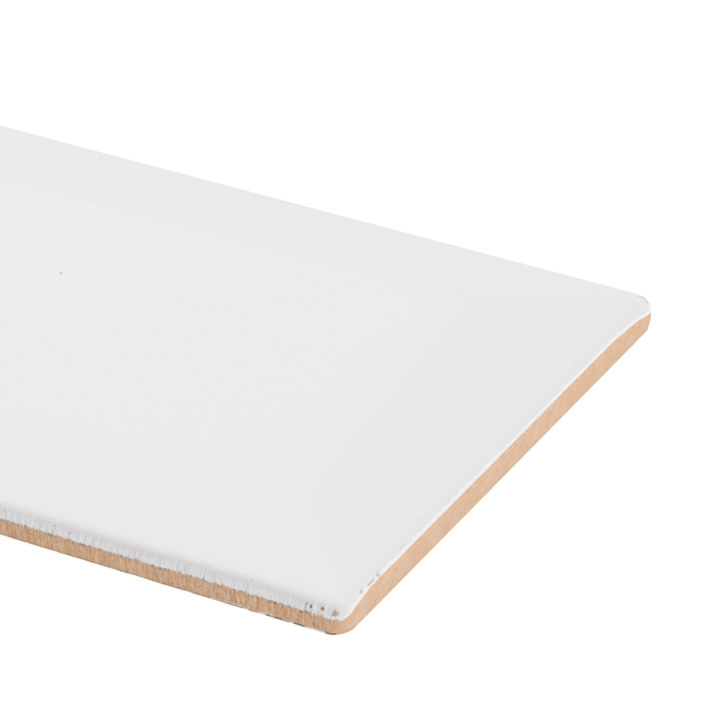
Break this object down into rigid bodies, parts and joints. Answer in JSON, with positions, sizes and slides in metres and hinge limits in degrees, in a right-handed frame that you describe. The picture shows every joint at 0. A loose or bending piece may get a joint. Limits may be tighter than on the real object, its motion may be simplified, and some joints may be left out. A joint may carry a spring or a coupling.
{
  "type": "wall tile",
  "caption": "Rectangular bevelled wall tile: flat glazed field with soft slopes down to rolled edges, bare fired sides and a keyed back that beds in adhesive.",
  "frame": {"origin": "centre of the tile's outline, on the plane of its back", "axes": "+X along the long sides, +Y across the tile, +Z out of the glazed face"},
  "size_m": [0.2, 0.1, 0.0065],
  "materials": {
    "white_glaze": "glossy white glaze",
    "biscuit": "bare fired earthenware, matt pinkish tan"
  },
  "bodies": {
    "root": {"wall_tile": "white_glaze"}
  },
  "joints": []
}
